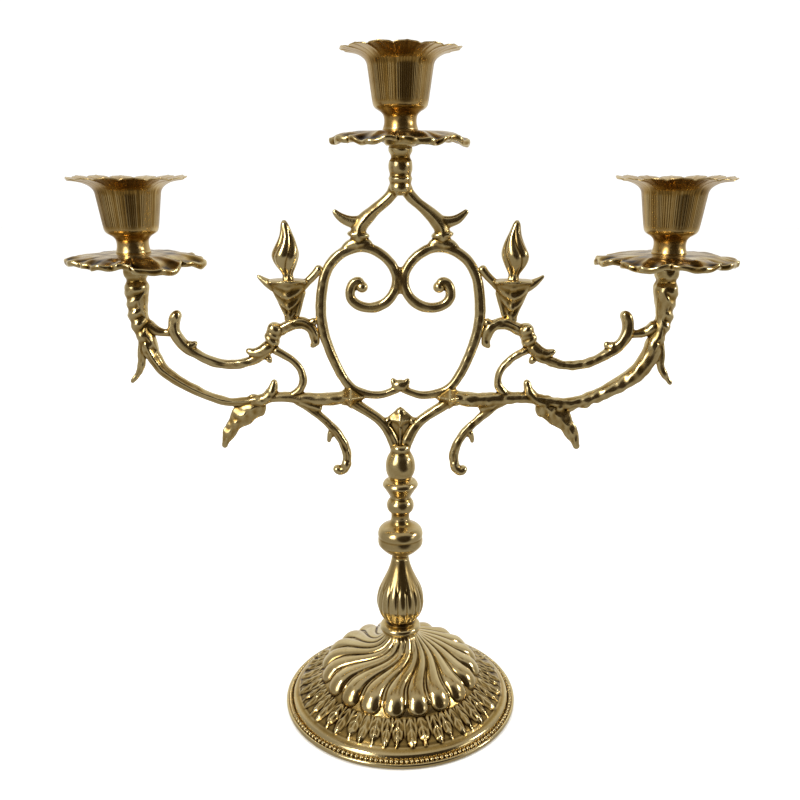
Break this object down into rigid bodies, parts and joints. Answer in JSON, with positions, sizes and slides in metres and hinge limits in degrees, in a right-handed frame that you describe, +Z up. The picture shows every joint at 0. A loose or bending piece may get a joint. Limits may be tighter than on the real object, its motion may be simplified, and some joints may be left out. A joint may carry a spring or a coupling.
{
  "type": "tabletop candelabra",
  "caption": "Cast brass table candelabra: a round gadrooned foot and turned stem carry scrolled lyre work and arms, each ending in a leafed drip pan and a petalled candle cup.",
  "frame": {"origin": "centre of the foot's bottom face, on the table", "axes": "+Z up along the stem, +X towards the right-hand light, the branch work lies in the XZ plane, -Y towards the viewer"},
  "size_m": [0.305, 0.1212, 0.32],
  "materials": {
    "polished_brass": "polished and lacquered cast brass",
    "cast_brass": "cast brass, polished on the high parts, dark in the recesses",
    "satin_brass": "turned brass with fine upright lines",
    "threaded_brass": "plain turned brass with a machine thread",
    "steel": "zinc plated steel hardware"
  },
  "bodies": {
    "candelabra": {"base_foot": "polished_brass", "base_washer": "steel", "base_nut": "steel", "tie_rod": "steel", "stem_baluster": "polished_brass", "stem_knop": "polished_brass", "stem_spool": "polished_brass", "stem_ring": "polished_brass", "frame_hub": "cast_brass", "lyre_crown": "cast_brass", "top_post": "cast_brass", "lyre_left": "cast_brass", "lyre_right": "cast_brass", "fork_left": "cast_brass", "fork_right": "cast_brass", "side_post_left": "cast_brass", "side_post_right": "cast_brass", "arm_lower_left": "cast_brass", "arm_lower_right": "cast_brass", "arm_upper_left": "cast_brass", "arm_upper_right": "cast_brass", "arm_knuckle_scroll_left": "cast_brass", "arm_knuckle_scroll_right": "cast_brass", "arm_loop_left": "cast_brass", "arm_loop_right": "cast_brass", "drop_scroll_left": "cast_brass", "drop_scroll_right": "cast_brass", "drop_leaf_left": "cast_brass", "drop_leaf_right": "cast_brass", "urn_left": "cast_brass", "urn_right": "cast_brass", "flame_left": "cast_brass", "flame_right": "cast_brass", "candle_stud_middle": "threaded_brass", "candle_stud_left": "threaded_brass", "candle_stud_right": "threaded_brass", "drip_pan_middle": "cast_brass", "drip_pan_left": "cast_brass", "drip_pan_right": "cast_brass"},
    "cup_middle": {"candle_cup_middle": "satin_brass"},
    "cup_left": {"candle_cup_left": "satin_brass"},
    "cup_right": {"candle_cup_right": "satin_brass"}
  },
  "joints": [
    {"name": "cup_middle_turn", "type": "hinge", "parent": "candelabra", "child": "cup_middle", "pos_m": [0, 0, 0.3095], "axis": [0, 0, 1], "continuous": true},
    {"name": "cup_left_turn", "type": "hinge", "parent": "candelabra", "child": "cup_left", "pos_m": [-0.1215, 0, 0.257], "axis": [0, 0, 1], "continuous": true},
    {"name": "cup_right_turn", "type": "hinge", "parent": "candelabra", "child": "cup_right", "pos_m": [0.1215, 0, 0.257], "axis": [0, 0, 1], "continuous": true}
  ]
}
